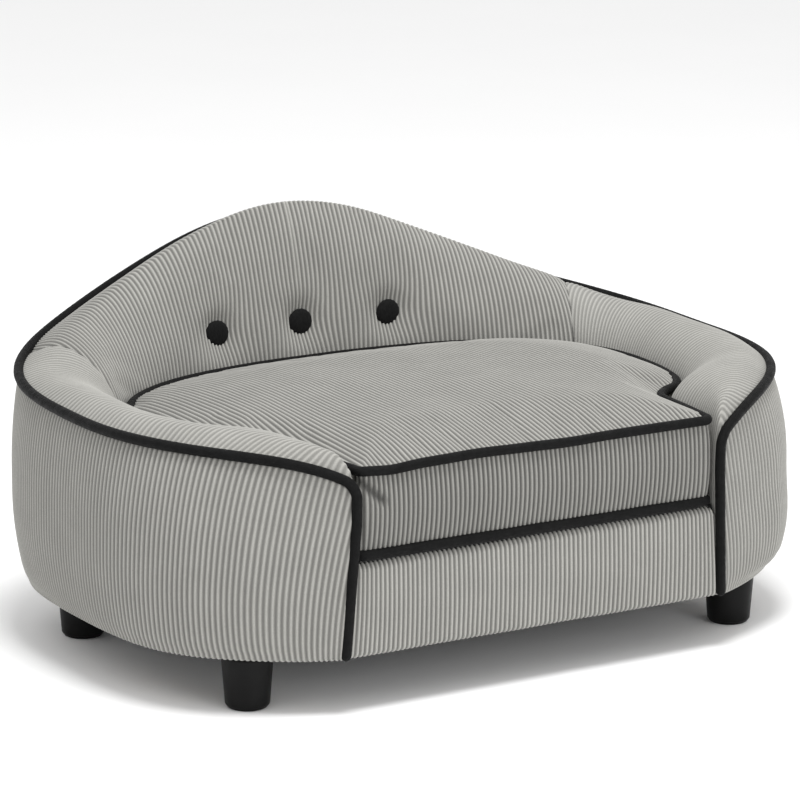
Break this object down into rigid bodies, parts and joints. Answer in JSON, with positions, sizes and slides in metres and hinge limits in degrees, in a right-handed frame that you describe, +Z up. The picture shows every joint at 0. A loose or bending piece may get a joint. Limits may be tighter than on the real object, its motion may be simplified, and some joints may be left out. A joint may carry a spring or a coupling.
{
  "type": "pet sofa bed",
  "caption": "Low upholstered pet sofa with a humped back, wrap-round arms, a loose T-shaped seat cushion and round feet.",
  "frame": {"origin": "on the floor, under the middle of the bed's bounding box", "axes": "+X to the right of an animal lying in the bed and facing out of the front, seen from the front; -Y to the open front; +Z up"},
  "size_m": [0.6788, 0.4738, 0.345],
  "materials": {
    "corduroy_outer": "warm grey ribbed corduroy, matt pile",
    "corduroy_inner": "warm grey ribbed corduroy, matt pile",
    "corduroy_cushion": "warm grey ribbed corduroy, matt pile",
    "piping_cloth": "black woven piping, slight sheen",
    "button_cloth": "black cloth-covered buttons",
    "twine": "waxed black twine with a toggle",
    "lining_cloth": "thin black non-woven lining",
    "zip_tape": "black woven zip tape with nylon coil",
    "zip_metal": "dark plated metal",
    "foam": "cream foam and wadding",
    "fibre_fill": "white fibre fill",
    "hardboard": "raw hardboard",
    "plywood": "raw plywood",
    "pine": "raw planed pine",
    "foot_plastic": "black moulded plastic, satin",
    "zinc_steel": "zinc plated steel"
  },
  "bodies": {
    "frame": {"outer_wrap_cover": "corduroy_outer", "front_cover": "corduroy_outer", "left_arm_cover": "corduroy_inner", "right_arm_cover": "corduroy_inner", "back_cover": "corduroy_inner", "edge_piping": "piping_cloth", "back_button_1": "button_cloth", "back_button_2": "button_cloth", "back_button_3": "button_cloth", "button_tie_1": "twine", "button_tie_2": "twine", "button_tie_3": "twine", "dust_cover": "lining_cloth", "deck_cover": "lining_cloth", "left_arm_foam": "foam", "right_arm_foam": "foam", "back_foam": "foam", "front_foam": "foam", "deck_foam": "foam", "left_arm_tip_wadding": "foam", "right_arm_tip_wadding": "foam", "left_arm_outer_panel": "hardboard", "right_arm_outer_panel": "hardboard", "back_outer_panel": "hardboard", "left_arm_inner_panel": "hardboard", "right_arm_inner_panel": "hardboard", "back_inner_panel": "hardboard", "base_board": "plywood", "deck_board": "plywood", "left_arm_rail": "pine", "right_arm_rail": "pine", "back_rail": "pine", "front_rail": "pine", "left_front_post": "pine", "right_front_post": "pine", "left_deck_cleat": "pine", "right_deck_cleat": "pine", "back_deck_cleat": "pine", "front_deck_cleat": "pine", "foot_front_left": "foot_plastic", "foot_bolt_front_left": "zinc_steel", "tee_nut_front_left": "zinc_steel", "foot_front_right": "foot_plastic", "foot_bolt_front_right": "zinc_steel", "tee_nut_front_right": "zinc_steel", "foot_back_left": "foot_plastic", "foot_bolt_back_left": "zinc_steel", "tee_nut_back_left": "zinc_steel", "foot_back_right": "foot_plastic", "foot_bolt_back_right": "zinc_steel", "tee_nut_back_right": "zinc_steel"},
    "cushion": {"cushion_core": "fibre_fill", "cushion_top_cover": "corduroy_cushion", "cushion_boxing": "corduroy_cushion", "cushion_bottom_cover": "lining_cloth", "cushion_top_piping": "piping_cloth", "cushion_bottom_piping": "piping_cloth", "zip_tape_and_coil": "zip_tape"},
    "zip_slider_body": {"zip_slider": "zip_metal", "zip_pull": "zip_metal"}
  },
  "joints": [
    {"name": "cushion_lift", "type": "slide", "parent": "frame", "child": "cushion", "axis": [0, 0, 1], "range_m": [0, 0.25]},
    {"name": "zip_slide", "type": "slide", "parent": "cushion", "child": "zip_slider_body", "axis": [1, 0, 0], "range_m": [0, 0.2]}
  ]
}
